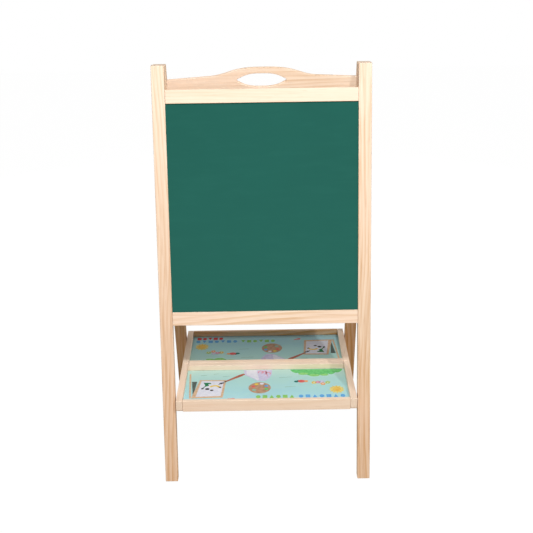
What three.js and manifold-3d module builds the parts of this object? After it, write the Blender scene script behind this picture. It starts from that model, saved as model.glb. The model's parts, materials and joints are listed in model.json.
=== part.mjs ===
// A folding two-sided children's easel in pine: a chalkboard frame in front and a whiteboard frame
// behind, hinged at the top, with a two-part folding tray between them.
//
// Millimetres, +Z up. The front faces -Y. The origin is on the floor, midway between the four feet.
// Each frame is modelled flat in its own group: x runs across it, y from its outer face inwards,
// and z up along its legs. The group then leans it back by LEAN. The back frame is the same
// arrangement turned half a turn about Z.

import * as THREE from "three";
import { mergeVertices } from "three/addons/utils/BufferGeometryUtils.js";
import loadManifold from "manifold-3d";

// ---------------------------------------------------------------- driving dimensions

const GAP = 0.3; // clearance between pieces that touch
const LEAN = THREE.MathUtils.degToRad(11.25); // each frame's lean from upright

const FRAME_WIDTH = 450;
const LEG = { width: 27, depth: 18 };
const LEG_LENGTH = { front: 895, back: 892.5 }; // along the outer face
const BOTTOM_RAIL = { bottom: 353, height: 29 };
const TOP_RAIL = { bottom: 819, height: 28 };
const APEX_GAP = 6.4; // between the two frames' inner faces, level with the leg tops

const PANEL = { thickness: 3, tongue: 4 }; // tongue is how far it reaches into its grooves
const CHALKBOARD_RECESS = 4; // below the frame's outer face
const WHITEBOARD = { recess: 6.7, top: 837 };

const HANDLE = {
  thickness: 8,
  endTop: { left: 862.8, right: 865.8 }, // height of its top edge beside the legs
  shoulder: { x: 110, top: 869.6 },
  hump: { x: 60, top: 882.3 },
  top: 887.8,
  humpX: 4, // the hump is cut a little to the right of the middle
  slot: { width: 102, height: 29, centre: 861, tipRadius: 4 },
  screwInset: 4.5, // from its inner face to its end screws
};

const TRAY = {
  top: 190,
  length: 352,
  width: 391,
  height: 26,
  side: 14, // thickness of the side rails
  end: 9, // thickness of the outer end wall
  middle: 13.4, // thickness of the wall at the middle of the tray
  floorDrop: 13.5, // from the rim down to the floor
  cornerRadius: 5.5, // of the side rails' lower outer corners
};

const APEX_AXIS_DROP = 6; // from the front leg tops down to the hinge pins
const KNEE_DROP = 2.5; // from the tray's underside down to the middle hinges' pins

const SCREW = { headRadius: 3.5, headHeight: 2.4, shankRadius: 1.9, length: 45 };
const SMALL_SCREW = { headRadius: 2.6, headHeight: 1.4, shankRadius: 1.3, length: 10 };
const BOLT = { headRadius: 7.5, headHeight: 3.5, shankRadius: 3, reach: 8.5 };
const SLEEVE_RADIUS = 4.5;
const APEX_HINGE = {
  length: 23, // across the leg
  leafWidth: 26, // down the leg
  leafThickness: 1.5,
  knuckleRadius: 2.7,
  pinRadius: 1.3,
  screwDrops: [10, 20], // from the pin down to each leaf's two screws
};
const TRAY_HINGE = {
  x: 110, // from the middle of the tray, one each side
  length: 40,
  leafWidth: 12,
  leafThickness: 1.2,
  knuckleRadius: 2.2,
  pinRadius: 1.1,
};

const ROUND_STEPS = 16; // sides of a turned piece

// ---------------------------------------------------------------- worked-out sizes

const COS = Math.cos(LEAN);
const SIN = Math.sin(LEAN);
const HEIGHT = LEG_LENGTH.front * COS;
const HALF_DEPTH = LEG_LENGTH.front * SIN + LEG.depth / COS + APEX_GAP / 2;
const INNER_HALF = FRAME_WIDTH / 2 - LEG.width; // from the middle to a leg's inner side
const APEX_AXIS = inFrame(0, HEIGHT - APEX_AXIS_DROP);
// The tray pivots are as far above the middle hinges' pins as they are from the plane midway
// between the folded frames, so that the tray's halves close flat between them.
const PIVOT_DROP = TRAY.height + KNEE_DROP - (APEX_AXIS.y - LEG.depth / 2);
const TRAY_PIVOT_Z = TRAY.top - PIVOT_DROP;
const TRAY_PIVOT = { y: LEG.depth / 2, z: (TRAY_PIVOT_Z + (LEG.depth / 2) * SIN) / COS };
const TRAY_PIVOT_FROM_END =
  TRAY.length / 2 - HALF_DEPTH + TRAY_PIVOT.z * SIN + TRAY_PIVOT.y * COS;
const HALF_TRAY = TRAY.length / 2 - GAP;

/** A point of the middle part of the easel, given in the front frame's own y and z. */
function inFrame(y, z) {
  const fromFoot = y + HALF_DEPTH;
  return { y: fromFoot * COS - z * SIN, z: fromFoot * SIN + z * COS };
}

// ---------------------------------------------------------------- materials

const finish = (color, roughness, metalness = 0) =>
  new THREE.MeshStandardMaterial({ color, roughness, metalness });

const MATERIAL = {
  pine: finish(0xedcfa6, 0.6),
  chalk: finish(0x29665b, 0.85),
  white: finish(0xf4f5f4, 0.25),
  print: finish(0xaadccf, 0.5),
  steel: finish(0xb9bcc0, 0.35, 1),
};

// ---------------------------------------------------------------- solids

const wasm = await loadManifold();
wasm.setup();

/** The closed solid that a geometry bounds. */
function solid(geometry) {
  const bare = geometry.clone();
  bare.deleteAttribute("normal");
  bare.deleteAttribute("uv");
  const merged = mergeVertices(bare, 1e-4);
  return new wasm.Manifold(
    new wasm.Mesh({
      numProp: 3,
      vertProperties: new Float32Array(merged.attributes.position.array),
      triVerts: new Uint32Array(merged.index.array),
    }),
  );
}

/** A geometry for a solid, flat shaded. */
function geometryOf(body) {
  const { vertProperties, triVerts } = body.getMesh();
  const indexed = new THREE.BufferGeometry();
  indexed.setAttribute("position", new THREE.BufferAttribute(vertProperties, 3));
  indexed.setIndex(new THREE.BufferAttribute(triVerts, 1));
  const geometry = indexed.toNonIndexed();
  geometry.computeVertexNormals();
  return geometry;
}

/** The first geometry with the others taken out of it. */
function cut(geometry, ...tools) {
  const body = tools.reduce((rest, tool) => rest.subtract(solid(tool)), solid(geometry));
  return geometryOf(body);
}

/** All the geometries joined into one. */
function join(first, ...others) {
  const body = others.reduce((sum, other) => sum.add(solid(other)), solid(first));
  return geometryOf(body);
}

/** A block between two corners. */
function block([x0, x1], [y0, y1], [z0, z1]) {
  const box = new THREE.BoxGeometry(x1 - x0, y1 - y0, z1 - z0);
  return box.translate((x0 + x1) / 2, (y0 + y1) / 2, (z0 + z1) / 2);
}

/** An outline drawn in y and z, extruded along x between two places. */
function alongX(shape, [x0, x1]) {
  const options = { depth: x1 - x0, bevelEnabled: false, curveSegments: 8 };
  const geometry = new THREE.ExtrudeGeometry(shape, options);
  const turn = new THREE.Matrix4().makeBasis(
    new THREE.Vector3(0, 1, 0),
    new THREE.Vector3(0, 0, 1),
    new THREE.Vector3(1, 0, 0),
  );
  return geometry.applyMatrix4(turn).translate(x0, 0, 0);
}

/** An outline drawn in x and z, extruded along y between two places. */
function alongY(shape, [y0, y1]) {
  const options = { depth: y1 - y0, bevelEnabled: false, curveSegments: 12 };
  const geometry = new THREE.ExtrudeGeometry(shape, options);
  return geometry.rotateX(Math.PI / 2).translate(0, y1, 0);
}

/** A turned piece on a line along x: points are [radius, x], from one end on the axis to the other. */
function turned(points, y, z) {
  const profile = points.map(([radius, x]) => new THREE.Vector2(radius, x));
  const geometry = new THREE.LatheGeometry(profile, ROUND_STEPS);
  return geometry.rotateZ(-Math.PI / 2).translate(0, y, z);
}

/** A plain cylinder along x, between two places. */
function rod(radius, [x0, x1], y, z) {
  return turned([[0, x0], [radius, x0], [radius, x1], [0, x1]], y, z);
}

/** A countersunk screw along x: its head faces +x at headX. clearance makes the hole for it. */
function screwAlongX(size, headX, y, z, clearance = 0) {
  const headRadius = size.headRadius + clearance;
  const shankRadius = size.shankRadius + clearance;
  const tip = headX - size.length - clearance;
  const neck = headX - size.headHeight;
  const outer = headX + (clearance > 0 ? 1 : 0);
  const points = [[0, tip], [shankRadius * 0.6, tip], [shankRadius, tip + 2], [shankRadius, neck]];
  points.push([headRadius, headX]);
  if (outer > headX) points.push([headRadius, outer]);
  points.push([0, outer]);
  return turned(points, y, z);
}

/** The same geometry mirrored in x, its faces turned round so that they still point out. */
function mirrorX(geometry) {
  const copy = geometry.clone().scale(-1, 1, 1);
  const position = copy.attributes.position;
  const index = copy.index ? Array.from(copy.index.array) : [...Array(position.count).keys()];
  for (let i = 0; i < index.length; i += 3) {
    [index[i + 1], index[i + 2]] = [index[i + 2], index[i + 1]];
  }
  copy.setIndex(index);
  const flat = copy.toNonIndexed();
  flat.computeVertexNormals();
  return flat;
}

/** The geometry for one side, from the one for the +x side: side is 1 or -1. */
const onSide = (geometry, side) => (side > 0 ? geometry : mirrorX(geometry));

function addMesh(group, name, geometry, material) {
  const mesh = new THREE.Mesh(geometry, material);
  mesh.name = name;
  group.add(mesh);
}

// ---------------------------------------------------------------- frame pieces

const RAIL_SPAN = [-INNER_HALF + GAP, INNER_HALF - GAP];
const LEG_SPAN = [INNER_HALF, FRAME_WIDTH / 2];

/** The groove that holds a panel's edge, as a range of y. */
const groove = (recess) => [recess - GAP, recess + PANEL.thickness + GAP];

// A rail's screws go in at mid-height; the handle's go in near the middle of its thickness.
const RAIL_SCREW_Y = LEG.depth / 2;
const HANDLE_SCREW = { y: LEG.depth - HANDLE.screwInset, z: 840 };
const BOTTOM_SCREW_Z = BOTTOM_RAIL.bottom + BOTTOM_RAIL.height / 2;
const TOP_SCREW_Z = TOP_RAIL.bottom + TOP_RAIL.height / 2;

/** A leg, with both ends cut level with the floor, its panel groove and all its holes. */
function leg(length, recess, grooveTop, screws) {
  const rise = (LEG.depth * SIN) / COS;
  const outline = new THREE.Shape([
    new THREE.Vector2(0, 0),
    new THREE.Vector2(LEG.depth, rise),
    new THREE.Vector2(LEG.depth, length + rise),
    new THREE.Vector2(0, length),
  ]);
  const grooveBottom = BOTTOM_RAIL.bottom + BOTTOM_RAIL.height - PANEL.tongue - GAP;
  const holes = [
    block([INNER_HALF - 1, INNER_HALF + PANEL.tongue + GAP], groove(recess), [grooveBottom, grooveTop]),
    ...screws.map(({ y, z }) => screwAlongX(SCREW, FRAME_WIDTH / 2, y, z, GAP)),
    rod(BOLT.shankRadius + GAP, [INNER_HALF - 1, FRAME_WIDTH / 2 + 1], TRAY_PIVOT.y, TRAY_PIVOT.z),
    rod(
      BOLT.headRadius + GAP,
      [FRAME_WIDTH / 2 - BOLT.headHeight - GAP, FRAME_WIDTH / 2 + 1],
      TRAY_PIVOT.y,
      TRAY_PIVOT.z,
    ),
    ...APEX_SCREW_PLACES.map((place) => apexScrew(place, GAP)),
  ];
  return cut(alongX(outline, LEG_SPAN), ...holes);
}

/** A rail between the legs, grooved for the panel along one edge and bored for its two end screws. */
function rail({ bottom, height }, recess, grooveEdge) {
  const top = bottom + height;
  const depth = PANEL.tongue + GAP;
  const grooveSpan = grooveEdge === "top" ? [top - depth, top + 1] : [bottom - 1, bottom + depth];
  const screw = screwAlongX(SCREW, FRAME_WIDTH / 2, RAIL_SCREW_Y, bottom + height / 2, GAP);
  return cut(
    block(RAIL_SPAN, [0, LEG.depth], [bottom, top]),
    block([RAIL_SPAN[0] - 1, RAIL_SPAN[1] + 1], groove(recess), grooveSpan),
    screw,
    mirrorX(screw),
  );
}

/** The board that is both the back frame's top rail and the carrying handle. */
function handleBoard() {
  const { endTop, shoulder, hump, top } = HANDLE;
  const [start, end] = RAIL_SPAN;
  const middle = -HANDLE.humpX; // the back frame faces the other way, so its own x is reversed
  const outline = new THREE.Shape();
  const curve = (...points) => {
    const shifted = points.map((value, i) => (i % 2 === 0 ? value + middle : value));
    outline.bezierCurveTo(...shifted);
  };
  outline.moveTo(start, TOP_RAIL.bottom);
  outline.lineTo(end, TOP_RAIL.bottom);
  outline.lineTo(end, endTop.left);
  outline.lineTo(shoulder.x + middle, shoulder.top);
  curve(shoulder.x - 22, shoulder.top + 2, hump.x + 14, hump.top - 4, hump.x, hump.top);
  curve(hump.x - 22, hump.top + 5, 22, top, 0, top);
  curve(-22, top, 22 - hump.x, hump.top + 5, -hump.x, hump.top);
  curve(-hump.x - 14, hump.top - 4, 22 - shoulder.x, shoulder.top + 2, -shoulder.x, shoulder.top);
  outline.lineTo(start, endTop.right);
  outline.closePath();
  outline.holes.push(handSlot());
  const screw = screwAlongX(SCREW, FRAME_WIDTH / 2, HANDLE_SCREW.y, HANDLE_SCREW.z, GAP);
  const panelScrews = [-1, 1].map((side) => whiteboardScrew(side, GAP));
  const board = alongY(outline, [LEG.depth - HANDLE.thickness, LEG.depth]);
  return cut(board, screw, mirrorX(screw), ...panelScrews);
}

/** The hand hole: two shallow arcs that meet in small rounded tips. */
function handSlot() {
  const { width, height, centre, tipRadius } = HANDLE.slot;
  const reach = width / 2 - tipRadius;
  const rise = height / 2;
  const slot = new THREE.Path();
  slot.moveTo(-reach, centre - tipRadius);
  slot.bezierCurveTo(-reach * 0.62, centre - rise, -reach * 0.36, centre - rise, 0, centre - rise);
  slot.bezierCurveTo(reach * 0.36, centre - rise, reach * 0.62, centre - rise, reach, centre - tipRadius);
  slot.absarc(reach, centre, tipRadius, -Math.PI / 2, Math.PI / 2, false);
  slot.bezierCurveTo(reach * 0.62, centre + rise, reach * 0.36, centre + rise, 0, centre + rise);
  slot.bezierCurveTo(-reach * 0.36, centre + rise, -reach * 0.62, centre + rise, -reach, centre + tipRadius);
  slot.absarc(-reach, centre, tipRadius, Math.PI / 2, (Math.PI * 3) / 2, false);
  return slot;
}

/** A panel with its front at the recess, its sides and bottom in grooves, and its top at topZ. */
function panel(recess, topZ) {
  const half = INNER_HALF + PANEL.tongue;
  const bottom = BOTTOM_RAIL.bottom + BOTTOM_RAIL.height - PANEL.tongue;
  return block([-half, half], [recess, recess + PANEL.thickness], [bottom, topZ]);
}

/** The whiteboard with the holes for the two screws that hold its top to the handle board. */
function whiteboardPanel() {
  const holes = [-1, 1].map((side) => whiteboardScrew(side, GAP));
  return cut(panel(WHITEBOARD.recess, WHITEBOARD.top), ...holes);
}

/** A small screw from behind, through the whiteboard into the handle board. */
function whiteboardScrew(side, clearance = 0) {
  const screw = screwAlongX(SMALL_SCREW, 0, 0, 0, clearance);
  return screw.rotateZ(-Math.PI / 2).translate(side * 150, WHITEBOARD.recess, 828);
}

// ---------------------------------------------------------------- butt hinges

/** A hinge's knuckle ranges along its pin: one leaf has the outer two, the other the middle one. */
function knuckleSpans(length) {
  const middle = length / 6;
  return {
    outer: [
      [-length / 2, -middle],
      [middle, length / 2],
    ],
    middle: [[-middle + GAP, middle - GAP]],
  };
}

/**
 * A leaf and its knuckles, centred on x, with the pin at y 0 and z 0. The leaf goes from the pin
 * towards -z, and its back is at -leafBack in y, against the piece that it is fixed to.
 */
function hingeLeaf({ length, leafWidth, leafThickness, knuckleRadius, pinRadius }, leafBack, own, others) {
  const faces = [-leafBack, -leafBack + leafThickness];
  const leaf = block([-length / 2, length / 2], faces, [-leafWidth, 0]);
  const knuckles = own.map((span) => rod(knuckleRadius, span, 0, 0));
  const bore = rod(pinRadius + GAP, [-length, length], 0, 0);
  const reach = knuckleRadius + GAP;
  const room = others.map(([x0, x1]) => block([x0 - GAP, x1 + GAP], [-leafBack - 1, reach], [-reach, 1]));
  return cut(join(leaf, ...knuckles), bore, ...room);
}

// ---------------------------------------------------------------- apex hinges

const APEX_LEG_X = INNER_HALF + LEG.width / 2;
const APEX_LEAF_BACK = APEX_AXIS.y - LEG.depth - GAP;
const APEX_SCREW_PLACES = APEX_HINGE.screwDrops.map((drop) => APEX_AXIS.z - drop);

/** A leaf on a leg's inner face, cut for its two screws. */
function apexLeaf(own, others) {
  const leaf = hingeLeaf(APEX_HINGE, APEX_LEAF_BACK, own, others);
  const placed = leaf.translate(APEX_LEG_X, APEX_AXIS.y, APEX_AXIS.z);
  return cut(placed, ...APEX_SCREW_PLACES.map((z) => apexScrew(z, GAP)));
}

/** A small screw through the leaf into the leg, its head flush with the leaf. */
function apexScrew(z, clearance = 0) {
  const head = LEG.depth + GAP + APEX_HINGE.leafThickness;
  const screw = screwAlongX(SMALL_SCREW, 0, 0, 0, clearance);
  return screw.rotateZ(Math.PI / 2).translate(APEX_LEG_X, head, z);
}

function apexPin() {
  const { length, pinRadius } = APEX_HINGE;
  return rod(pinRadius, [APEX_LEG_X - length / 2, APEX_LEG_X + length / 2], APEX_AXIS.y, APEX_AXIS.z);
}

// ---------------------------------------------------------------- tray pivots

/** A bolt from the leg's outer side; tipX is where it ends. */
function pivotBolt(tipX) {
  const { headRadius, headHeight, shankRadius } = BOLT;
  const face = FRAME_WIDTH / 2;
  const neck = face - headHeight;
  const points = [
    [0, tipX],
    [shankRadius - 0.6, tipX],
    [shankRadius, tipX + 0.6],
    [shankRadius, neck],
    [headRadius, neck],
    [headRadius, face - 1.2],
    [headRadius * 0.75, face - 0.2],
    [0, face],
  ];
  return turned(points, TRAY_PIVOT.y, TRAY_PIVOT.z);
}

/** The steel sleeve round a bolt that keeps the tray clear of the leg. */
function pivotSleeve() {
  const span = [TRAY.width / 2 + GAP, INNER_HALF - GAP];
  const outside = rod(SLEEVE_RADIUS, span, TRAY_PIVOT.y, TRAY_PIVOT.z);
  return cut(outside, rod(BOLT.shankRadius + GAP, [0, FRAME_WIDTH], TRAY_PIVOT.y, TRAY_PIVOT.z));
}

// ---------------------------------------------------------------- tray

// A half tray lies with y from its outer end to the middle of the tray, and z down from its rim.
const TRAY_INNER = TRAY.width / 2 - TRAY.side;
const TRAY_GROOVE = [-TRAY.floorDrop - PANEL.thickness - GAP, -TRAY.floorDrop + GAP];
const MIDDLE_WALL_Y = HALF_TRAY - TRAY.middle;
const FLOOR_SPAN = [TRAY.end - PANEL.tongue, MIDDLE_WALL_Y + PANEL.tongue];

/** A side rail, with its rounded lower corner, the floor's groove and the pivot hole. */
function traySide() {
  const radius = TRAY.cornerRadius;
  const outline = new THREE.Shape();
  outline.moveTo(0, 0);
  outline.lineTo(0, -TRAY.height + radius);
  outline.absarc(radius, -TRAY.height + radius, radius, Math.PI, Math.PI * 1.5);
  outline.lineTo(HALF_TRAY, -TRAY.height);
  outline.lineTo(HALF_TRAY, 0);
  outline.closePath();
  const outer = TRAY.width / 2;
  return cut(
    alongX(outline, [TRAY_INNER, outer]),
    block(
      [TRAY_INNER - 1, TRAY_INNER + PANEL.tongue + GAP],
      [FLOOR_SPAN[0] - GAP, FLOOR_SPAN[1] + GAP],
      TRAY_GROOVE,
    ),
    rod(BOLT.shankRadius + GAP, [outer - BOLT.reach - GAP, outer + 1], TRAY_PIVOT_FROM_END, -PIVOT_DROP),
  );
}

/** A cross wall between the side rails; the groove for the floor is in the face at grooveY. */
function trayWall([y0, y1], grooveY) {
  const half = TRAY_INNER - GAP;
  const depth = PANEL.tongue + GAP;
  return cut(
    block([-half, half], [y0, y1], [-TRAY.height, 0]),
    block([-half - 1, half + 1], [grooveY - depth, grooveY + depth], TRAY_GROOVE),
  );
}

function trayFloor() {
  const half = TRAY_INNER + PANEL.tongue;
  return block([-half, half], FLOOR_SPAN, [-TRAY.floorDrop - PANEL.thickness, -TRAY.floorDrop]);
}

// ---------------------------------------------------------------- tray hinges

const KNEE_Y = TRAY.length / 2;
const KNEE_Z = -TRAY.height - KNEE_DROP;

/** A leaf flat under a middle wall: the standing leaf laid over towards the tray's end. */
function trayLeaf(own, others, x) {
  const leaf = hingeLeaf(TRAY_HINGE, KNEE_DROP - GAP, own, others);
  return leaf.rotateX(-Math.PI / 2).translate(x, KNEE_Y, KNEE_Z);
}

function trayPin(x) {
  const { length, pinRadius } = TRAY_HINGE;
  return rod(pinRadius, [x - length / 2, x + length / 2], KNEE_Y, KNEE_Z);
}

// ---------------------------------------------------------------- assembly

const SIDES = { left: -1, right: 1 };

/** The group that leans a flat frame; turn is 0 for the front frame and half a turn for the back. */
function leaningGroup(turn) {
  const lean = new THREE.Group();
  lean.rotation.x = -LEAN;
  const place = new THREE.Group();
  place.rotation.z = turn;
  place.position.y = turn === 0 ? -HALF_DEPTH : HALF_DEPTH;
  place.add(lean);
  return { place, lean };
}

/** The pieces that both frames have on each side; here side is in the frame's own x. */
function addFrameSide(group, frame, name, side, { upperScrew, grooveTop, recess, apexHinge, boltTip }) {
  const add = (piece, geometry, material) =>
    addMesh(group, `${frame}_${piece}_${name}`, onSide(geometry, side), material);
  const screws = [{ y: RAIL_SCREW_Y, z: BOTTOM_SCREW_Z }, upperScrew];
  add("leg", leg(LEG_LENGTH[frame], recess, grooveTop, screws), MATERIAL.pine);
  screws.forEach(({ y, z }, i) => {
    const place = i === 0 ? "lower" : "upper";
    add(`${place}_screw`, screwAlongX(SCREW, FRAME_WIDTH / 2 - GAP, y, z), MATERIAL.steel);
  });
  add("hinge_leaf", apexHinge, MATERIAL.steel);
  APEX_SCREW_PLACES.forEach((z, i) => add(`hinge_screw_${i + 1}`, apexScrew(z), MATERIAL.steel));
  add("pivot_bolt", pivotBolt(boltTip), MATERIAL.steel);
  add("pivot_sleeve", pivotSleeve(), MATERIAL.steel);
}

function frontFrame() {
  const { place, lean } = leaningGroup(0);
  const spans = knuckleSpans(APEX_HINGE.length);
  const options = {
    upperScrew: { y: RAIL_SCREW_Y, z: TOP_SCREW_Z },
    grooveTop: TOP_RAIL.bottom + PANEL.tongue + GAP,
    recess: CHALKBOARD_RECESS,
    apexHinge: apexLeaf(spans.outer, spans.middle),
    boltTip: TRAY.width / 2 - BOLT.reach,
  };
  for (const [name, side] of Object.entries(SIDES)) {
    addFrameSide(lean, "front", name, side, options);
    addMesh(lean, `hinge_pin_${name}`, onSide(apexPin(), side), MATERIAL.steel);
  }
  addMesh(lean, "front_bottom_rail", rail(BOTTOM_RAIL, CHALKBOARD_RECESS, "top"), MATERIAL.pine);
  addMesh(lean, "front_top_rail", rail(TOP_RAIL, CHALKBOARD_RECESS, "bottom"), MATERIAL.pine);
  const chalkboard = panel(CHALKBOARD_RECESS, TOP_RAIL.bottom + PANEL.tongue);
  addMesh(lean, "chalkboard", chalkboard, MATERIAL.chalk);
  return place;
}

function backFrame() {
  const { place, lean } = leaningGroup(Math.PI);
  const spans = knuckleSpans(APEX_HINGE.length);
  const options = {
    upperScrew: HANDLE_SCREW,
    grooveTop: WHITEBOARD.top + GAP,
    recess: WHITEBOARD.recess,
    apexHinge: apexLeaf(spans.middle, spans.outer),
    boltTip: TRAY.width / 2 + GAP, // this pivot is left open: the bolt stops short of the tray
  };
  for (const [name, side] of Object.entries(SIDES)) {
    addFrameSide(lean, "back", name, -side, options);
    addMesh(lean, `whiteboard_screw_${name}`, whiteboardScrew(-side), MATERIAL.steel);
  }
  addMesh(lean, "back_bottom_rail", rail(BOTTOM_RAIL, WHITEBOARD.recess, "top"), MATERIAL.pine);
  addMesh(lean, "handle_board", handleBoard(), MATERIAL.pine);
  addMesh(lean, "whiteboard", whiteboardPanel(), MATERIAL.white);
  return place;
}

/** One half of the tray; the back half is the front one turned half a turn about z. */
function halfTray(name, turn, knuckles, otherKnuckles) {
  const group = new THREE.Group();
  group.rotation.z = turn;
  group.position.set(0, turn === 0 ? -TRAY.length / 2 : TRAY.length / 2, TRAY.top);
  const flip = turn === 0 ? 1 : -1;
  for (const [sideName, side] of Object.entries(SIDES)) {
    addMesh(group, `${name}_tray_side_${sideName}`, onSide(traySide(), side * flip), MATERIAL.pine);
    const leaf = trayLeaf(knuckles, otherKnuckles, side * flip * TRAY_HINGE.x);
    addMesh(group, `${name}_tray_hinge_leaf_${sideName}`, leaf, MATERIAL.steel);
  }
  addMesh(group, `${name}_tray_end_wall`, trayWall([0, TRAY.end], TRAY.end), MATERIAL.pine);
  const middleWall = trayWall([MIDDLE_WALL_Y, HALF_TRAY], MIDDLE_WALL_Y);
  addMesh(group, `${name}_tray_middle_wall`, middleWall, MATERIAL.pine);
  addMesh(group, `${name}_tray_floor`, trayFloor(), MATERIAL.print);
  return group;
}

function tray() {
  const spans = knuckleSpans(TRAY_HINGE.length);
  const front = halfTray("front", 0, spans.outer, spans.middle);
  const back = halfTray("back", Math.PI, spans.middle, spans.outer);
  for (const [name, side] of Object.entries(SIDES)) {
    addMesh(front, `tray_hinge_pin_${name}`, trayPin(side * TRAY_HINGE.x), MATERIAL.steel);
  }
  return [front, back];
}

const easel = new THREE.Group();
easel.add(frontFrame(), backFrame(), ...tray());

export default easel;
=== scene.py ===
"""The looks of a folding two-sided children's easel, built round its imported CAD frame."""

import json
import math

import bmesh
import bpy
from mathutils import Matrix, Vector


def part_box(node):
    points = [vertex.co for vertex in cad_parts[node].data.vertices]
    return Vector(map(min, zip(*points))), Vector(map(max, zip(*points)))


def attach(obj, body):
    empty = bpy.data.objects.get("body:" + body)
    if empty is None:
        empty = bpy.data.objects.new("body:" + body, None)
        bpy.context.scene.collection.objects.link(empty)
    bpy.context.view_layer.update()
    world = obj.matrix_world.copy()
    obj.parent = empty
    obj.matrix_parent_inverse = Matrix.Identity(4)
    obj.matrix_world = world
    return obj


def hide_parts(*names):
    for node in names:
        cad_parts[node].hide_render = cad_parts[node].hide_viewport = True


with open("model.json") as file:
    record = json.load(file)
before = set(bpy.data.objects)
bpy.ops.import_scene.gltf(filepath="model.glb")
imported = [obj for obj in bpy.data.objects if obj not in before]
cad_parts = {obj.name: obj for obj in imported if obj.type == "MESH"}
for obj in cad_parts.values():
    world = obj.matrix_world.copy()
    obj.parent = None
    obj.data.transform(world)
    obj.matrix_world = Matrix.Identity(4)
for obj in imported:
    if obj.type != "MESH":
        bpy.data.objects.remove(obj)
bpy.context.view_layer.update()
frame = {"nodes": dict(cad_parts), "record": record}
NODES = frame["nodes"]
RECORD = frame["record"]
BODY_OF = {node: body for body, nodes in RECORD["behaviour"]["bodies"].items() for node in nodes}
SLOT_OF = {part["node"]: part["material_slot"] for part in RECORD["subparts"]}

MM = 0.001
LEAN = math.radians(11.25)

X = Vector((1, 0, 0))
Y = Vector((0, 1, 0))
Z = Vector((0, 0, 1))
UP_FRONT_LEG = Vector((0, math.sin(LEAN), math.cos(LEAN)))
UP_BACK_LEG = Vector((0, -math.sin(LEAN), math.cos(LEAN)))
INTO_FRONT_FRAME = Vector((0, math.cos(LEAN), -math.sin(LEAN)))
INTO_BACK_FRAME = Vector((0, -math.cos(LEAN), -math.sin(LEAN)))


def srgb(red, green, blue):
    """A colour given as 0 to 255 screen values, as the linear RGBA that a socket takes."""
    def linear(value):
        share = value / 255
        return share / 12.92 if share <= 0.04045 else ((share + 0.055) / 1.055) ** 2.4
    return (linear(red), linear(green), linear(blue), 1.0)


def grey(value):
    return (value, value, value, 1.0)


# ---------------------------------------------------------------- node helpers

class Tree:
    """A short way to add and link shader nodes."""

    def __init__(self, tree):
        self.tree = tree

    def add(self, kind, **settings):
        node = self.tree.nodes.new(kind)
        for name, value in settings.items():
            setattr(node, name, value)
        return node

    def link(self, source, target):
        self.tree.links.new(source, target)

    def feed(self, socket, value):
        """Sets a socket, from another socket or from a plain value."""
        if isinstance(value, bpy.types.NodeSocket):
            self.link(value, socket)
        else:
            socket.default_value = value

    def math(self, operation, *values):
        node = self.add("ShaderNodeMath", operation=operation)
        for socket, value in zip(node.inputs, values):
            self.feed(socket, value)
        return node.outputs[0]

    def vector(self, operation, *values):
        node = self.add("ShaderNodeVectorMath", operation=operation)
        for socket, value in zip(node.inputs, values):
            self.feed(socket, value)
        return node.outputs["Value"] if operation in ("DOT_PRODUCT", "LENGTH") else node.outputs[0]

    def combine(self, x, y, z):
        node = self.add("ShaderNodeCombineXYZ")
        for socket, value in zip(node.inputs, (x, y, z)):
            self.feed(socket, value)
        return node.outputs[0]

    def noise(self, vector, scale, detail=2.0, roughness=0.5, distortion=0.0):
        node = self.add("ShaderNodeTexNoise")
        self.link(vector, node.inputs["Vector"])
        node.inputs["Scale"].default_value = scale
        node.inputs["Detail"].default_value = detail
        node.inputs["Roughness"].default_value = roughness
        node.inputs["Distortion"].default_value = distortion
        return node.outputs["Fac"]

    def ramp(self, factor, stops):
        """A colour ramp: stops are (position, colour) pairs."""
        node = self.add("ShaderNodeValToRGB")
        elements = node.color_ramp.elements
        while len(elements) < len(stops):
            elements.new(0.5)
        for element, (position, color) in zip(elements, stops):
            element.position = position
            element.color = color
        self.link(factor, node.inputs[0])
        return node.outputs[0]

    def span(self, value, low, high, to_low=0.0, to_high=1.0):
        """Maps a range of values to another one, clamped."""
        node = self.add("ShaderNodeMapRange")
        for socket, number in zip(node.inputs, (value, low, high, to_low, to_high)):
            self.feed(socket, number)
        return node.outputs[0]

    def mix(self, factor, first, second, blend="MIX"):
        """Mixes two colours: a Mix node has its factor at input 0, and its colours at inputs 6 and 7."""
        node = self.add("ShaderNodeMix", data_type="RGBA", blend_type=blend)
        self.feed(node.inputs[0], factor)
        self.feed(node.inputs[6], first)
        self.feed(node.inputs[7], second)
        return node.outputs[2]

    def add_up(self, *values):
        """The sum of two or more values."""
        total = values[0]
        for value in values[1:]:
            total = self.math("ADD", total, value)
        return total

    def bump(self, height, strength, distance):
        node = self.add("ShaderNodeBump")
        node.inputs["Strength"].default_value = strength
        node.inputs["Distance"].default_value = distance
        self.link(height, node.inputs["Height"])
        return node.outputs[0]


def new_material(name):
    """A material with one Principled shader; returns it, its tree and the shader."""
    material = bpy.data.materials.new(name)
    material.use_nodes = True
    shader = material.node_tree.nodes["Principled BSDF"]
    return material, Tree(material.node_tree), shader


def object_point(tree):
    return tree.add("ShaderNodeTexCoord").outputs["Object"]


def grain_range(node, along):
    """Where a CAD node starts and ends along a direction."""
    reach = [vertex.co.dot(along) for vertex in NODES[node].data.vertices]
    return min(reach), max(reach)


# ---------------------------------------------------------------- wood

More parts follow.
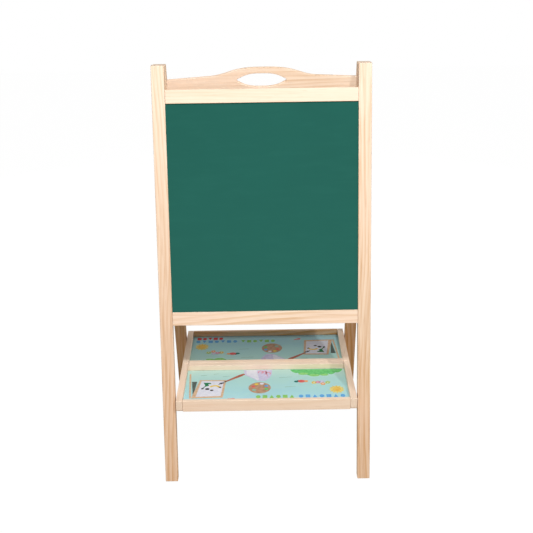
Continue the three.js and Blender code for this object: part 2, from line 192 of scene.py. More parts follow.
PINE_EARLY = srgb(243, 223, 203)
PINE_LATE = srgb(217, 178, 133)
PINE_BLUSH = srgb(243, 213, 192)
PINE_STREAK = srgb(211, 170, 129)
PINE_END = srgb(232, 216, 198)
PINE_PORE = srgb(176, 130, 92)
SHADE_TINT = (0.71, 0.51, 0.26, 1)  # painted shade: how much of each primary the wood still reflects where it is darkened and warmed
RING_SPACING = 7.5 * MM
RING_SHADES = [(0.0, grey(0)), (0.35, grey(0.12)), (0.8, grey(1)), (1.0, grey(0))]
PITH_WANDER = {"wide": 30 * MM, "thick": 35 * MM}  # how far the pith strays along the grain


def pine(name, along, seed, shade_ends, figure):
    """
    Planed pine: growth rings round a pith beside the board, with the grain along a direction.
    The third argument is the share of painted shade, a darker and warmer tone, at the board's two ends, the
    one at the grain's start first. It may pass 1, as the plainer wood between the rings takes only part of
    it.
    figure is how strongly its rings and streaks show.
    """
    material, tree, shader = new_material(f"pine_{name}")
    across = X if abs(along.dot(X)) < 0.5 else Z
    through = along.cross(across).normalized()
    point = object_point(tree)
    length = tree.vector("DOT_PRODUCT", point, along)
    wide = tree.vector("DOT_PRODUCT", point, across)
    thick = tree.vector("DOT_PRODUCT", point, through)
    shift = (0.37 * seed, 0.61 * seed, 0.23 * seed)

    def stretched(factor):
        """The point with its length squeezed, so that noise on it runs along the grain."""
        squeezed = tree.combine(tree.math("MULTIPLY", length, factor), wide, thick)
        return tree.vector("ADD", squeezed, shift)

    slow = stretched(0.3)
    stray_wide, stray_thick = PITH_WANDER["wide"], PITH_WANDER["thick"]
    wander_wide = tree.span(tree.noise(slow, 4.0, 1.0), 0.2, 0.8, -stray_wide, stray_wide)
    wander_thick = tree.span(tree.noise(stretched(0.22), 5.0, 1.0), 0.2, 0.8, -stray_thick, stray_thick)
    pith_wide = 45 * MM * math.sin(seed * 2.4)
    pith_thick = 60 * MM + 30 * MM * math.cos(seed * 1.7)
    from_pith = tree.combine(
        0.0,
        tree.add_up(wide, pith_wide, wander_wide),
        tree.add_up(thick, pith_thick, wander_thick),
    )
    radius = tree.vector("LENGTH", from_pith)
    wobble = tree.math("MULTIPLY", tree.noise(stretched(0.12), 60.0, 2.0), 0.7)
    ring = tree.math("FRACT", tree.math("ADD", tree.math("DIVIDE", radius, RING_SPACING), wobble))
    late = tree.ramp(ring, RING_SHADES)
    strength = tree.span(tree.noise(stretched(0.5), 12.0, 2.0), 0.35, 0.68, 0.2 * figure, figure)

    fibre = tree.noise(stretched(0.02), 1100.0, 3.0, 0.6)
    streak = tree.noise(stretched(0.035), 170.0, 2.0, 0.55)
    patch = tree.noise(slow, 9.0, 2.0, 0.5)
    pore = tree.noise(stretched(0.05), 520.0, 1.0, 0.4)

    bands = tree.math("MULTIPLY", late, strength)
    color = tree.mix(bands, PINE_EARLY, PINE_LATE)
    color = tree.mix(tree.span(patch, 0.4, 0.68, 0.0, 0.5), color, PINE_BLUSH)
    color = tree.mix(tree.span(streak, 0.5, 0.68, 0.0, 0.6 * figure), color, PINE_STREAK)
    color = tree.mix(tree.span(fibre, 0.4, 0.68, 0.0, 0.16), color, PINE_STREAK)
    color = tree.mix(tree.span(pore, 0.68, 0.78, 0.0, 0.3), color, PINE_PORE)
    start, end = grain_range(name, along)
    # Painted shade: the board is darkened and warmed toward its ends by these shares, in place of light
    # falling off down the legs and shade behind the boards.
    shade_share = tree.span(length, start, end, *shade_ends)
    shade_strength = tree.math("MULTIPLY", shade_share, tree.span(bands, 0.0, 0.8, 0.65, 1.6))
    color = tree.mix(shade_strength, color, SHADE_TINT, "MULTIPLY")
    normal = tree.add("ShaderNodeTexCoord").outputs["Normal"]
    facing = tree.math("ABSOLUTE", tree.vector("DOT_PRODUCT", normal, along))
    color = tree.mix(tree.span(facing, 0.75, 0.95, 0.0, 0.45), color, PINE_END)
    tree.link(color, shader.inputs["Base Color"])

    tree.link(tree.span(fibre, 0.3, 0.7, 0.46, 0.6), shader.inputs["Roughness"])
    shader.inputs["Specular IOR Level"].default_value = 0.45
    height = tree.math("ADD", tree.math("MULTIPLY", fibre, 0.5), tree.math("MULTIPLY", late, -0.3))
    tree.link(tree.bump(height, 0.16, 0.3 * MM), shader.inputs["Normal"])
    return material


# ---------------------------------------------------------------- boards, steel and print

def chalkboard_paint():
    """Matt green chalkboard paint, with wiped clouds of chalk, and painted light that makes it lighter low
    down.
    """
    material, tree, shader = new_material("chalkboard_green")
    point = object_point(tree)
    cloud = tree.noise(point, 7.0, 4.0, 0.55, 0.8)
    wipe = tree.noise(tree.vector("MULTIPLY", point, (1.0, 6.0, 6.0)), 14.0, 3.0, 0.5, 0.3)
    grit = tree.noise(point, 1800.0, 2.0, 0.6)
    color = tree.mix(tree.span(cloud, 0.38, 0.7, 0.0, 0.45), srgb(29, 88, 79), srgb(33, 93, 84))
    color = tree.mix(tree.span(wipe, 0.5, 0.75, 0.0, 0.3), color, srgb(37, 98, 88))
    # Painted light: lighter paint toward the bottom, which evens out the lamps' light falling off down the
    # board.
    low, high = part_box("chalkboard")
    painted_light_low = tree.span(tree.vector("DOT_PRODUCT", point, Z), low.z, high.z, 0.35, 0.0)
    color = tree.mix(painted_light_low, color, srgb(44, 110, 100))
    tree.link(color, shader.inputs["Base Color"])
    tree.link(tree.span(cloud, 0.3, 0.7, 0.82, 0.92), shader.inputs["Roughness"])
    shader.inputs["Specular IOR Level"].default_value = 0.1
    tree.link(tree.bump(grit, 0.15, 0.15 * MM), shader.inputs["Normal"])
    return material


def whiteboard_laminate():
    """Gloss white dry-erase laminate, very slightly rippled and smeared."""
    material, tree, shader = new_material("whiteboard_gloss")
    point = object_point(tree)
    ripple = tree.noise(point, 60.0, 2.0, 0.4)
    smear = tree.noise(point, 7.0, 3.0, 0.5, 1.2)
    color = tree.mix(tree.span(smear, 0.45, 0.75, 0.0, 0.5), srgb(243, 245, 246), srgb(234, 238, 241))
    tree.link(color, shader.inputs["Base Color"])
    tree.link(tree.span(smear, 0.35, 0.7, 0.28, 0.4), shader.inputs["Roughness"])
    shader.inputs["Coat Weight"].default_value = 0.1
    shader.inputs["Coat Roughness"].default_value = 0.08
    tree.link(tree.bump(ripple, 0.02, 0.2 * MM), shader.inputs["Normal"])
    return material


def zinc_steel():
    """Zinc-plated steel with a faint spangle."""
    material, tree, shader = new_material("zinc_steel")
    point = object_point(tree)
    spangle = tree.noise(point, 700.0, 2.0, 0.6)
    tree.link(tree.mix(spangle, srgb(168, 170, 174), srgb(206, 207, 208)), shader.inputs["Base Color"])
    shader.inputs["Metallic"].default_value = 1.0
    tree.link(tree.span(spangle, 0.3, 0.7, 0.28, 0.42), shader.inputs["Roughness"])
    tree.link(tree.bump(spangle, 0.08, 0.1 * MM), shader.inputs["Normal"])
    return material


PRINT_FADE = [
    (0.0, srgb(196, 230, 222)),
    (0.3, srgb(179, 225, 223)),
    (0.65, srgb(170, 220, 228)),
    (1.0, srgb(174, 221, 239)),
]


def printed_board(name, middle_y, end_y):
    """Satin printed board that fades from mint beside the middle wall to sky blue at the end."""
    material, tree, shader = new_material(name)
    point = object_point(tree)
    share = tree.span(tree.vector("DOT_PRODUCT", point, Y), middle_y, end_y)
    color = tree.ramp(share, PRINT_FADE)
    wash = tree.noise(tree.vector("MULTIPLY", point, (1.0, 2.5, 1.0)), 20.0, 3.0, 0.55, 0.6)
    color = tree.mix(tree.span(wash, 0.42, 0.7, 0.0, 0.4), color, srgb(186, 228, 220))
    tree.link(color, shader.inputs["Base Color"])
    tree.link(tree.span(wash, 0.3, 0.7, 0.38, 0.5), shader.inputs["Roughness"])
    shader.inputs["Specular IOR Level"].default_value = 0.3
    tree.link(tree.bump(tree.noise(point, 1500.0, 2.0, 0.5), 0.06, 0.1 * MM), shader.inputs["Normal"])
    return material


INKS = {
    "paper": ((232, 234, 246), (218, 222, 238)),
    "tan": ((224, 192, 160), (206, 172, 140)),
    "slate": ((96, 112, 106), (76, 90, 86)),
    "leaf_green": ((32, 140, 86), (22, 106, 68)),
    "yellow": ((240, 214, 90), (226, 190, 70)),
    "ink_black": ((30, 28, 40), (20, 20, 28)),
    "brush_red": ((190, 112, 88), (166, 92, 72)),
    "steel_grey": ((176, 184, 196), (148, 156, 170)),
    "lilac": ((214, 212, 238), (198, 196, 228)),
    "pink": ((236, 158, 178), (224, 134, 156)),
    "palette_brown": ((198, 160, 132), (174, 136, 110)),
    "coral": ((234, 110, 104), (220, 90, 86)),
    "foliage": ((116, 212, 130), (88, 192, 110)),
    "foliage_light": ((158, 222, 136), (134, 208, 118)),
    "teal": ((24, 132, 122), (18, 108, 102)),
    "orange": ((244, 176, 108), (236, 156, 88)),
    "lime": ((186, 214, 104), (166, 198, 84)),
    "sun_gold": ((240, 208, 104), (230, 184, 84)),
    "sun_glow": ((232, 222, 150), (222, 212, 140)),
    "row_green": ((150, 208, 112), (130, 194, 96)),
    "row_blue": ((104, 178, 232), (84, 160, 222)),
    "row_red": ((226, 76, 84), (206, 58, 68)),
    "mist": ((150, 196, 180), (138, 184, 170)),
}


def ink(name):
    """Printed ink that varies slightly in strength, as a poster print does."""
    strong, weak = (srgb(*color) for color in INKS[name])
    material, tree, shader = new_material(f"ink_{name}")
    point = object_point(tree)
    blot = tree.noise(point, 130.0, 3.0, 0.6, 0.4)
    tree.link(tree.mix(tree.span(blot, 0.36, 0.66), strong, weak), shader.inputs["Base Color"])
    tree.link(tree.span(blot, 0.3, 0.7, 0.38, 0.5), shader.inputs["Roughness"])
    shader.inputs["Specular IOR Level"].default_value = 0.3
    tree.link(tree.bump(tree.noise(point, 1500.0, 2.0, 0.5), 0.06, 0.1 * MM), shader.inputs["Normal"])
    return material


# ---------------------------------------------------------------- CAD nodes

WOOD_EDGE = 1.1 * MM
METAL_EDGE = 0.25 * MM
SHARP_CORNER = math.radians(50)  # edges that turn by more than this are rounded


def ease_edges(node, width, segments=3, curved=False):
    """
    Rounds a CAD node's edges with modifiers, which leave its own mesh as it is.
    A curved outline needs its flat faces merged first: their short triangles would pinch the rounding.
    """
    weld = node.modifiers.new("weld", "WELD")
    weld.merge_threshold = 0.01 * MM
    if curved:
        flatten = node.modifiers.new("flatten", "DECIMATE")
        flatten.decimate_type = "DISSOLVE"
        flatten.angle_limit = math.radians(1)
    bevel = node.modifiers.new("ease", "BEVEL")
    bevel.width = width
    bevel.segments = segments
    bevel.limit_method = "ANGLE"
    bevel.angle_limit = SHARP_CORNER
    bevel.use_clamp_overlap = False


def dress(piece, *materials):
    """Gives a piece its materials, in place of any that it has."""
    piece.data.materials.clear()
    for material in materials:
        piece.data.materials.append(material)


def grain_of(name):
    """The direction that a wooden node's grain runs in."""
    if "_leg_" in name:
        return UP_FRONT_LEG if name.startswith("front") else UP_BACK_LEG
    if "_tray_side_" in name:
        return Y
    return X


def tone_of(name):
    """A wooden node's shares of painted shade at its grain's two ends, and how strong its figure is."""
    # Painted shade: the front legs darken toward their feet, the back legs more so, for light falling off
    # down the easel and shade under the boards. The tray's rear wall is browner all over, partly its own tone
    # and partly painted shade on its shaded inner face.
    if name.startswith("front_leg"):
        return (0.52, 0.0), 0.8
    if name.startswith("back_leg"):
        return (1.15, 0.3), 0.8
    if name == "back_tray_end_wall":
        return (0.85, 0.85), 0.5
    if "bottom_rail" in name:
        return (0.0, 0.0), 0.85
    if name == "handle_board":
        return (0.0, 0.0), 0.5
    return (0.0, 0.0), 0.25


def dress_cad_nodes(steel):
    """A material for every CAD node, and rounded edges on the wood and on the hinge leaves."""
    special = {"chalkboard": chalkboard_paint(), "whiteboard": whiteboard_laminate()}
    for half, outer in (("front", 0), ("back", 1)):
        floor = f"{half}_tray_floor"
        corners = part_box(floor)
        special[floor] = printed_board(f"{half}_tray_print", corners[1 - outer].y, corners[outer].y)
    for seed, name in enumerate(sorted(NODES)):
        node = NODES[name]
        if name in special:
            dress(node, special[name])
        elif SLOT_OF[name] == "steel":
            dress(node, steel)
            if "leaf" in name:
                ease_edges(node, METAL_EDGE, 2)
        else:
            dress(node, pine(name, grain_of(name), seed, *tone_of(name)))
            ease_edges(node, WOOD_EDGE, curved=name == "handle_board")


# ---------------------------------------------------------------- fasteners

def lathe(points, steps=28):
    """A closed turned mesh round +x: points are (x, radius), from one end on the axis to the other."""
    bm = bmesh.new()
    rows = []
    for x, radius in points:
        if radius == 0:
            rows.append([bm.verts.new((x, 0, 0))])
            continue
        angles = [2 * math.pi * i / steps for i in range(steps)]
        rows.append([bm.verts.new((x, radius * math.cos(a), radius * math.sin(a))) for a in angles])
    for first, second in zip(rows, rows[1:]):
        for i in range(steps):
            j = (i + 1) % steps
            corners = [
                first[i % len(first)],
                first[j % len(first)],
                second[j % len(second)],
                second[i % len(second)],
            ]
            bm.faces.new(list(dict.fromkeys(corners)))  # a row of one point gives a triangle
    bmesh.ops.recalc_face_normals(bm, faces=bm.faces)
    mesh = bpy.data.meshes.new("lathe")
    bm.to_mesh(mesh)
    bm.free()
    return mesh


def prism(outline, mouth, floor, taper):
    """A closed prism along x for cutting a recess: full size at the mouth, tapered at its floor."""
    bm = bmesh.new()
    near = [bm.verts.new((mouth, y, z)) for y, z in outline]
    far = [bm.verts.new((floor, y * taper, z * taper)) for y, z in outline]
    bm.faces.new(near)
    bm.faces.new(far[::-1])
    for i in range(len(outline)):
        j = (i + 1) % len(outline)
        bm.faces.new([near[j], near[i], far[i], far[j]])
    bmesh.ops.recalc_face_normals(bm, faces=bm.faces)
    mesh = bpy.data.meshes.new("prism")
    bm.to_mesh(mesh)
    bm.free()
    return mesh


def cut_mesh(mesh, cutter):
    """The first mesh with the second one taken out of it."""
    body = bpy.data.objects.new("cut_body", mesh)
    tool = bpy.data.objects.new("cut_tool", cutter)
    bpy.context.scene.collection.objects.link(body)
    bpy.context.scene.collection.objects.link(tool)
    boolean = body.modifiers.new("cut", "BOOLEAN")
    boolean.object = tool
    boolean.solver = "EXACT"
    bpy.context.view_layer.update()
    result = bpy.data.meshes.new_from_object(body.evaluated_get(bpy.context.evaluated_depsgraph_get()))
    bpy.data.objects.remove(body)
    bpy.data.objects.remove(tool)
    return result


def cross(reach, half_width):
    """The outline of a cross recess: one arm's three corners, turned a quarter three times."""
    outline = []
    corners = [(reach, half_width), (half_width, half_width), (half_width, reach)]
    for _ in range(4):
        outline += corners
        corners = [(-z, y) for y, z in corners]
    return outline


def hexagon(radius):
    return [(radius * math.cos(math.pi * i / 3), radius * math.sin(math.pi * i / 3)) for i in range(6)]


RIM = 0.25 * MM  # the eased edge round a fastener's head
BOLT_CHAMFER = 0.6 * MM
SOCKET_RADIUS = 2.3 * MM
SOCKET_DEPTH = 2.2 * MM


def screw_mesh(length, head_radius, head_height, shank_radius):
    """A countersunk cross-head screw: its head's top is at x 0 and its tip at -length."""
    points = [
        (0, 0),
        (0, head_radius - RIM),
        (-RIM, head_radius),
        (-head_height, shank_radius),
        (-length + 2 * shank_radius, shank_radius),
        (-length, 0),
    ]
    recess = prism(cross(head_radius * 0.62, head_radius * 0.13), MM, -head_height * 0.75, 0.55)
    return cut_mesh(lathe(points), recess)


def bolt_mesh(length, head_radius, head_height, shank_radius):
    """A pan-head furniture bolt with a hexagon socket: its head's top is at x 0."""
    points = [
        (0, 0),
        (0, head_radius * 0.62),
        (-RIM, head_radius * 0.8),
        (-0.8 * MM, head_radius * 0.95),
        (-1.5 * MM, head_radius),
        (-head_height, head_radius),
        (-head_height, shank_radius),
        (-length + BOLT_CHAMFER, shank_radius),
        (-length, shank_radius - BOLT_CHAMFER),
        (-length, 0),
    ]
    socket = prism(hexagon(SOCKET_RADIUS), MM, -SOCKET_DEPTH, 1.0)
    return cut_mesh(lathe(points), socket)


def fastener_axis(name):
    """The direction that a fastener's head faces."""
    if "whiteboard_screw" in name:
        return -INTO_BACK_FRAME
    if "hinge_screw" in name:
        return INTO_FRONT_FRAME if name.startswith("front") else INTO_BACK_FRAME
    return X if name.endswith("right") else -X


def head_centre(node, axis):
    """The middle of a fastener's head, which is the farthest part of it along its axis."""
    reach = max(vertex.co.dot(axis) for vertex in node.data.vertices)
    top = [vertex.co for vertex in node.data.vertices if vertex.co.dot(axis) > reach - 0.01 * MM]
    return sum(top, Vector()) / len(top)


def smooth_round(piece):
    """Smooth shading on turned surfaces, with the sharp edges kept."""
    piece.data.shade_smooth()
    piece.data.set_sharp_from_angle(angle=math.radians(35))


# A fastener's length, head radius, head height and shank radius. A bolt is as long as its CAD node.
SMALL_SCREW = (10 * MM, 2.6 * MM, 1.4 * MM, 1.3 * MM)
RAIL_SCREW = (45 * MM, 3.5 * MM, 2.4 * MM, 1.9 * MM)
BOLT = (None, 7.5 * MM, 3.5 * MM, 3 * MM)


def add_fastener(name, mesh, place, axis, body, steel):
    """Places a fastener's mesh, made along x with its head at the origin, and rides it on a body."""
    turn = axis.to_track_quat("X", "Z").to_matrix().to_4x4()
    mesh.transform(Matrix.Translation(place) @ turn)
    piece = bpy.data.objects.new(name, mesh)
    bpy.context.scene.collection.objects.link(piece)
    dress(piece, steel)
    smooth_round(piece)
    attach(piece, body)
    return piece


def add_fasteners(steel):
    """Screws and bolts with driven recesses, in place of the plain CAD ones."""
    kinds = (
        (("hinge_screw", "whiteboard_screw"), screw_mesh, SMALL_SCREW),
        (("upper_screw", "lower_screw"), screw_mesh, RAIL_SCREW),
        (("pivot_bolt",), bolt_mesh, BOLT),
    )
    for marks, build, sizes in kinds:
        for name in sorted(node for node in NODES if any(mark in node for mark in marks)):
            axis = fastener_axis(name)
            place = head_centre(NODES[name], axis)
            low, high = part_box(name)
            length, *rest = sizes
            mesh = build(length or high.x - low.x, *rest)
            piece = add_fastener(f"{name}_detail", mesh, place, axis, BODY_OF[name], steel)
            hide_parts(name)


LEAF_SCREW = (8 * MM, 1.9 * MM, 1.1 * MM, 1.1 * MM)  # length, head radius, head height, shank radius
LEAF_SCREW_PROUD = 0.4 * MM  # how far its head stands out of the leaf
LEAF_SCREW_INSET = 5 * MM  # from the leaf's outer edge
LEAF_SCREW_SPREAD = 0.32  # of the leaf's length, each side of its middle
LEAF_THICKNESS = 1.2 * MM


def add_leaf_screws(steel):
    """Two small screws up through each leaf of the tray's hinges into the middle wall above it."""
    for name in sorted(node for node in NODES if "tray_hinge_leaf" in node):
        low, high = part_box(name)
        away_from_pin = -1 if name.startswith("front") else 1
        edge = low.y if away_from_pin < 0 else high.y
        for i, side in enumerate((-1, 1), start=1):
            place = Vector((
                (low.x + high.x) / 2 + side * LEAF_SCREW_SPREAD * (high.x - low.x),
                edge - away_from_pin * LEAF_SCREW_INSET,
                high.z - LEAF_THICKNESS - LEAF_SCREW_PROUD,
            ))
            mesh = screw_mesh(*LEAF_SCREW)
            add_fastener(f"{name}_screw_{i}", mesh, place, -Z, BODY_OF[name], steel)


# ---------------------------------------------------------------- the print on the tray floors

# Print is laid out in millimetres on the front half: x to the right, y from the tray's end (-176)
# to the middle of the tray (0). The back half carries the same print turned half a turn.

def ellipse(x, y, across, deep, steps=24):
    angles = [2 * math.pi * i / steps for i in range(steps)]
    return [(x + across * math.cos(a), y + deep * math.sin(a)) for a in angles]


def bar(x0, y0, x1, y1, start, end=None):
    """A straight stroke that is start wide at one end and end wide at the other."""
    end = start if end is None else end
    direction = Vector((x1 - x0, y1 - y0)).normalized()
    side = Vector((-direction.y, direction.x))
    first, last = Vector((x0, y0)), Vector((x1, y1))
    return [
        tuple(first + side * start / 2),
        tuple(first - side * start / 2),
        tuple(last - side * end / 2),
        tuple(last + side * end / 2),
    ]


def arch(x, y, radius, width, first, last, steps=10):
    """A curved stroke round a centre, between two angles in degrees."""
    angles = [math.radians(first + (last - first) * i / steps) for i in range(steps + 1)]
    within = radius - width
    outer = [(x + radius * math.cos(a), y + radius * math.sin(a)) for a in angles]
    inner = [(x + within * math.cos(a), y + within * math.sin(a)) for a in reversed(angles)]
    return outer + inner


def scallops(left, right, top, depth, bumps, steps=84):
    """A hanging mass of foliage: straight along its top, with rounded bumps below."""
    edge = []
    for i in range(steps + 1):
        share = i / steps
        hang = depth * math.sin(math.pi * share) ** 0.55
        bump = 7 * abs(math.sin(math.pi * bumps * share)) ** 0.7 * math.sin(math.pi * share) ** 0.3
        edge.append((right + (left - right) * share, top - hang - bump))
    return [(left, top), (right, top)] + edge[1:-1]


class Print:
    """Collects flat printed shapes, each a thin closed plate, for one half of the tray."""

    SHEET = 0.12 * MM  # thickness of one layer of print

    def __init__(self, half):
        self.half = half
        self.turn = 1 if half == "front" else -1
        self.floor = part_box(f"{half}_tray_floor")[1].z
        self.bm = bmesh.new()
        self.inks = []

    def lay(self, color, outline, layer=1):
        if color not in self.inks:
            self.inks.append(color)
        bottom, top = self.floor + 0.01 * MM, self.floor + self.SHEET * layer
        rings = []
        for z in (bottom, top):
            rings.append([self.bm.verts.new((self.turn * x * MM, self.turn * y * MM, z)) for x, y in outline])
        faces = [self.bm.faces.new(rings[0]), self.bm.faces.new(rings[1])]
        for i in range(len(outline)):
            j = (i + 1) % len(outline)
            faces.append(self.bm.faces.new([rings[0][i], rings[0][j], rings[1][j], rings[1][i]]))
        for face in faces:
            face.material_index = self.inks.index(color)

    def finish(self, inks):
        bmesh.ops.recalc_face_normals(self.bm, faces=self.bm.faces)
        mesh = bpy.data.meshes.new(f"{self.half}_tray_art")
        self.bm.to_mesh(mesh)
        self.bm.free()
        piece = bpy.data.objects.new(f"{self.half}_tray_art", mesh)
        bpy.context.scene.collection.objects.link(piece)
        for color in self.inks:
            mesh.materials.append(inks[color])
        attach(piece, f"{self.half}_tray")


def draw_little_easel(art):
    """A printed easel that holds a framed child-like painting of a plant."""
    art.lay("tan", [(-177, -30), (-173, -30), (-166, -141), (-170, -141)])
    art.lay("slate", [(-169, -66), (-157, -66), (-162, -136)])
    art.lay("tan", [(-151, -59), (-91, -61), (-96, -139), (-166, -141)], 2)
    art.lay("paper", [(-147, -64), (-96, -66), (-101, -132), (-156, -135)], 3)
    leaf = [(-142, -72), (-126, -73), (-124, -77), (-131, -79), (-129, -86), (-137, -90), (-139, -80)]
    art.lay("leaf_green", leaf, 4)
    art.lay("leaf_green", bar(-137, -88, -143, -98, 2.4), 4)
    art.lay("yellow", arch(-116, -98, 14, 5, 20, 150), 4)
    dots = ((-143, -99, 3, 3), (-132, -101, 5, 4), (-122, -107, 4, 3), (-104, -94, 3, 2.5))
    for x, y, across, deep in dots:
        art.lay("ink_black", ellipse(x, y, across, deep, 14), 4)
    art.lay("ink_black", bar(-103, -80, -96, -74, 2.4), 4)


def draw_brush_and_paper(art):
    """A paint brush that reaches from the painting to a sheet of paper."""
    sheet = [(-52, -15), (14, -15), (13, -38), (7, -54), (-2, -67), (-19, -67), (-34, -51), (-49, -38)]
    light_part = [(-46, -15), (-22, -15), (-16, -60), (-20, -64), (-33, -48), (-45, -37)]
    art.lay("lilac", sheet)
    art.lay("paper", light_part, 2)
    for i in range(3):
        art.lay("pink", arch(-12 + 8 * i, -26 - 3 * i, 7, 2.2, -40, 210), 3)
    art.lay("pink", bar(-1, -19, 3, -46, 2.6, 1.2), 3)
    art.lay("brush_red", bar(-95, -70, -60, -41, 4, 9), 2)
    art.lay("brush_red", bar(-60, -41, -50, -33, 9, 6), 2)
    art.lay("steel_grey", bar(-101, -75, -95, -70, 4.6, 4), 4)
    art.lay("ink_black", bar(-108, -81, -101, -75, 1, 5), 5)


def draw_palette(art):
    """A painter's palette with five dabs of paint."""
    art.lay("palette_brown", ellipse(-15, -98, 25, 25, 32))
    art.lay("mist", ellipse(-27, -108, 5, 4.5, 16), 2)
    dabs = (
        ("coral", -29, -92),
        ("yellow", -22, -82),
        ("paper", -10, -80),
        ("row_blue", 0, -90),
        ("foliage", 0, -104),
    )
    for color, x, y in dabs:
        art.lay(color, ellipse(x, y, 4.6, 4, 16), 2)


def draw_flower(art, color, x, y):
    """Five round petals, in two layers so that neighbours don't share a face, round a pale middle."""
    for i in range(5):
        angle = 2 * math.pi * (i + 0.25) / 5
        petal = ellipse(x + 3.6 * math.cos(angle), y + 3.6 * math.sin(angle), 2.6, 2.6, 10)
        art.lay(color, petal, 1 + i % 2)
    art.lay("paper", ellipse(x, y, 1.6, 1.6, 10), 3)


def draw_sun(art, x, y):
    """A gold disc in a pale glow, with twelve rays."""
    art.lay("sun_glow", ellipse(x, y, 15, 15, 32))
    for i in range(12):
        angle = 2 * math.pi * i / 12
        ray = Vector((math.cos(angle), math.sin(angle)))
        near, far = ray * 11, ray * 18
        art.lay("yellow", bar(x + near.x, y + near.y, x + far.x, y + far.y, 3.4, 0.8), 2)
    art.lay("sun_gold", ellipse(x, y, 9.5, 9.5, 28), 3)


def draw_garden(art):
    """Foliage along the middle wall, a bird, flowers and the sun."""
    art.lay("foliage", scallops(56, 178, -14.8, 24, 7))
    art.lay("foliage_light", ellipse(86, -36, 12, 5), 2)
    art.lay("foliage_light", ellipse(111, -44, 12, 5.5), 2)
    art.lay("foliage_light", ellipse(134, -42, 10, 4.5), 2)
    art.lay("teal", ellipse(69, -72, 6, 4, 16), 2)
    art.lay("ink_black", ellipse(75, -69, 5, 3, 16), 2)
    art.lay("coral", ellipse(80, -71, 8, 6, 18), 3)
    art.lay("orange", ellipse(90, -71, 5, 4, 16), 2)
    flowers = (
        ("yellow", 108, -78),
        ("pink", 117, -76),
        ("lilac", 126, -74),
        ("orange", 128, -84),
        ("lime", 139, -78),
    )
    for color, x, y in flowers:
        draw_flower(art, color, x, y)
    draw_sun(art, 157, -110)


def draw_row(art, color, first, last, y, count):
    """A row of plain shapes: discs, squares and triangles in turn."""
    across, deep = 5.2, 6.5
    pitch = (last - first) / (count - 1)
    for i in range(count):
        x = first + pitch * i
        left, right, near, far = x - across, x + across, y - deep, y + deep
        shapes = (
            ellipse(x, y, across, deep, 16),
            [(left, near), (right, near), (right, far), (left, far)],
            [(left, near), (right, near), (x, far)],
        )
        art.lay(color, shapes[i % len(shapes)])


def draw_strokes(art):
    """Rows of shapes along the tray's end, and a few loose strokes of paint."""
    draw_row(art, "row_green", -18, 56, -138, 6)
    draw_row(art, "row_blue", 76, 168, -138, 7)
    draw_row(art, "row_red", 112, 166, -154, 5)
    art.lay("coral", bar(-84, -147, -70, -143, 6, 2))
    art.lay("coral", ellipse(-83, -147, 4.5, 3.5, 14), 2)
    faint = ((-150, -38, 14), (-121, -32, 12), (-100, -44, 16), (30, -52, 30), (42, -96, 24))
    for x, y, reach in faint:
        art.lay("mist", bar(x, y, x + reach, y + 2, 1.6, 0.8))


def print_tray_floors():
    """Lays the same print on both halves of the tray."""
    inks = {name: ink(name) for name in INKS}
    for half in ("front", "back"):
        art = Print(half)
        draw_little_easel(art)
        draw_brush_and_paper(art)
        draw_palette(art)
        draw_garden(art)
        draw_strokes(art)
        art.finish(inks)


# ---------------------------------------------------------------- stage, light and camera

FLOOR_BOUNCE = (0.5, 0.42, 0.34, 1)  # what the pale floor throws back on the easel
FLOOR_SHADE = (0.03, 0.03, 0.03, 1)  # how much of the floor's seen white dims in shadow
FLOOR_GLOW = 0.985
AIM = Vector((0, 0, 0.5))  # the middle of the easel, which every light faces
WORLD_STRENGTH = 0.31
WORLD_TINT = (1.0, 0.97, 0.94, 1)
LIGHTS = {
    "key": {"place": (0.09, -1.8, 2.2), "size": 0.18, "power": 29, "color": (1.0, 0.98, 0.95)},
    "side": {"place": (1.0, -2.1, 2.45), "size": 0.08, "power": 25, "color": (1.0, 0.98, 0.95)},
    "front": {"place": (0, -1.25, 1.3), "size": 0.4, "power": 4.5, "color": (0.96, 0.98, 1.0)},
    "back": {"place": (-0.5, 2.0, 2.3), "size": 0.9, "power": 7, "color": (1.0, 0.99, 0.98)},
    "back_left": {"place": (-1.7, 2.1, 0.5), "size": 0.6, "power": 24, "color": (1.0, 0.98, 0.96)},
    "back_right": {"place": (1.7, 2.1, 0.5), "size": 0.6, "power": 24, "color": (1.0, 0.98, 0.96)},
}


def seen_directly(tree):
    return tree.add("ShaderNodeLightPath").outputs["Is Camera Ray"]


def add_floor():
    """A pale floor that the camera sees as white, with the faintest of shadows."""
    bpy.ops.mesh.primitive_plane_add(size=12, location=(0, 0, 0))
    floor = bpy.context.object
    floor.name = "floor"
    material = bpy.data.materials.new("floor_white")
    material.use_nodes = True
    material.node_tree.nodes.clear()
    tree = Tree(material.node_tree)
    bounce = tree.add("ShaderNodeBsdfDiffuse")
    bounce.inputs["Color"].default_value = FLOOR_BOUNCE
    seen = tree.add("ShaderNodeBsdfDiffuse")
    seen.inputs["Color"].default_value = FLOOR_SHADE
    glow = tree.add("ShaderNodeEmission")
    glow.inputs["Strength"].default_value = FLOOR_GLOW
    pale = tree.add("ShaderNodeAddShader")
    tree.link(seen.outputs[0], pale.inputs[0])
    tree.link(glow.outputs[0], pale.inputs[1])
    choice = tree.add("ShaderNodeMixShader")
    tree.link(seen_directly(tree), choice.inputs[0])
    tree.link(bounce.outputs[0], choice.inputs[1])
    tree.link(pale.outputs[0], choice.inputs[2])
    tree.link(choice.outputs[0], tree.add("ShaderNodeOutputMaterial").inputs["Surface"])
    dress(floor, material)


def add_area_light(name, place, size, power, color):
    """A round light that faces the middle of the easel, with no reflection if it is behind it."""
    data = bpy.data.lights.new(name, "AREA")
    data.shape = "DISK"
    data.size = size
    data.energy = power
    data.color = color
    light = bpy.data.objects.new(name, data)
    light.location = place
    light.visible_camera = False
    light.visible_glossy = not name.startswith("back")
    light.rotation_euler = (AIM - Vector(place)).to_track_quat("-Z", "Y").to_euler()
    bpy.context.scene.collection.objects.link(light)


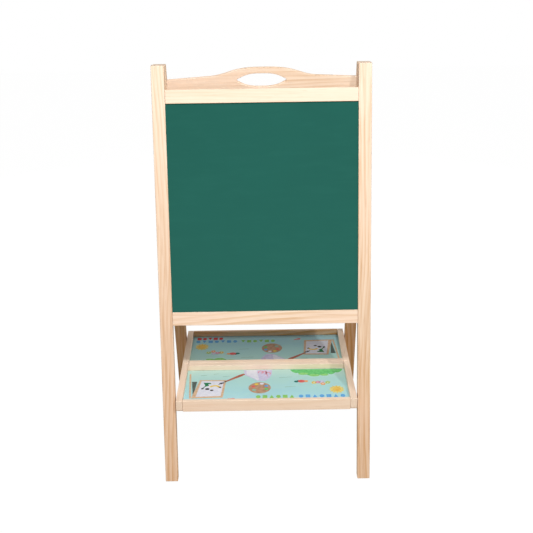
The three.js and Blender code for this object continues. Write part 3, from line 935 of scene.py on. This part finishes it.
def add_lights():
    """A small key light in front, weaker ones round the easel, and a soft sky that is seen as white."""
    for name, light in LIGHTS.items():
        add_area_light(name, light["place"], light["size"], light["power"], light["color"])
    world = bpy.data.worlds.new("studio")
    world.use_nodes = True
    tree = Tree(world.node_tree)
    sky = world.node_tree.nodes["Background"]
    sky.inputs["Color"].default_value = WORLD_TINT
    sky.inputs["Strength"].default_value = WORLD_STRENGTH
    white = tree.add("ShaderNodeBackground")
    white.inputs["Color"].default_value = (1, 1, 1, 1)
    choice = tree.add("ShaderNodeMixShader")
    tree.link(seen_directly(tree), choice.inputs[0])
    tree.link(sky.outputs[0], choice.inputs[1])
    tree.link(white.outputs[0], choice.inputs[2])
    tree.link(choice.outputs[0], world.node_tree.nodes["World Output"].inputs["Surface"])
    bpy.context.scene.world = world


CAMERA = {
    "place": (0.00133, -1.78393, 1.12235),
    "yaw": 0.0018,
    "pitch": 0.37042,
    "roll": -0.01463,
    "focal_in_widths": 1.6027,
}
SENSOR_WIDTH = 36


def add_camera():
    data = bpy.data.cameras.new("camera")
    data.sensor_fit = "HORIZONTAL"
    data.sensor_width = SENSOR_WIDTH
    data.lens = SENSOR_WIDTH * CAMERA["focal_in_widths"]
    data.clip_start = 0.01
    camera = bpy.data.objects.new("camera", data)
    yaw, pitch, roll = CAMERA["yaw"], CAMERA["pitch"], CAMERA["roll"]
    forward = Vector((math.sin(yaw) * math.cos(pitch), math.cos(yaw) * math.cos(pitch), -math.sin(pitch)))
    level = Vector((math.cos(yaw), -math.sin(yaw), 0))
    upright = level.cross(forward)
    right = math.cos(roll) * level + math.sin(roll) * upright
    up = math.cos(roll) * upright - math.sin(roll) * level
    turn = Matrix((right, up, -forward)).transposed().to_4x4()
    camera.matrix_world = Matrix.Translation(Vector(CAMERA["place"])) @ turn
    bpy.context.scene.collection.objects.link(camera)
    bpy.context.scene.camera = camera


# ---------------------------------------------------------------- the scene

bpy.context.scene.view_settings.view_transform = "Standard"
add_camera()
add_lights()
add_floor()
zinc = zinc_steel()
dress_cad_nodes(zinc)
add_fasteners(zinc)
add_leaf_screws(zinc)
print_tray_floors()
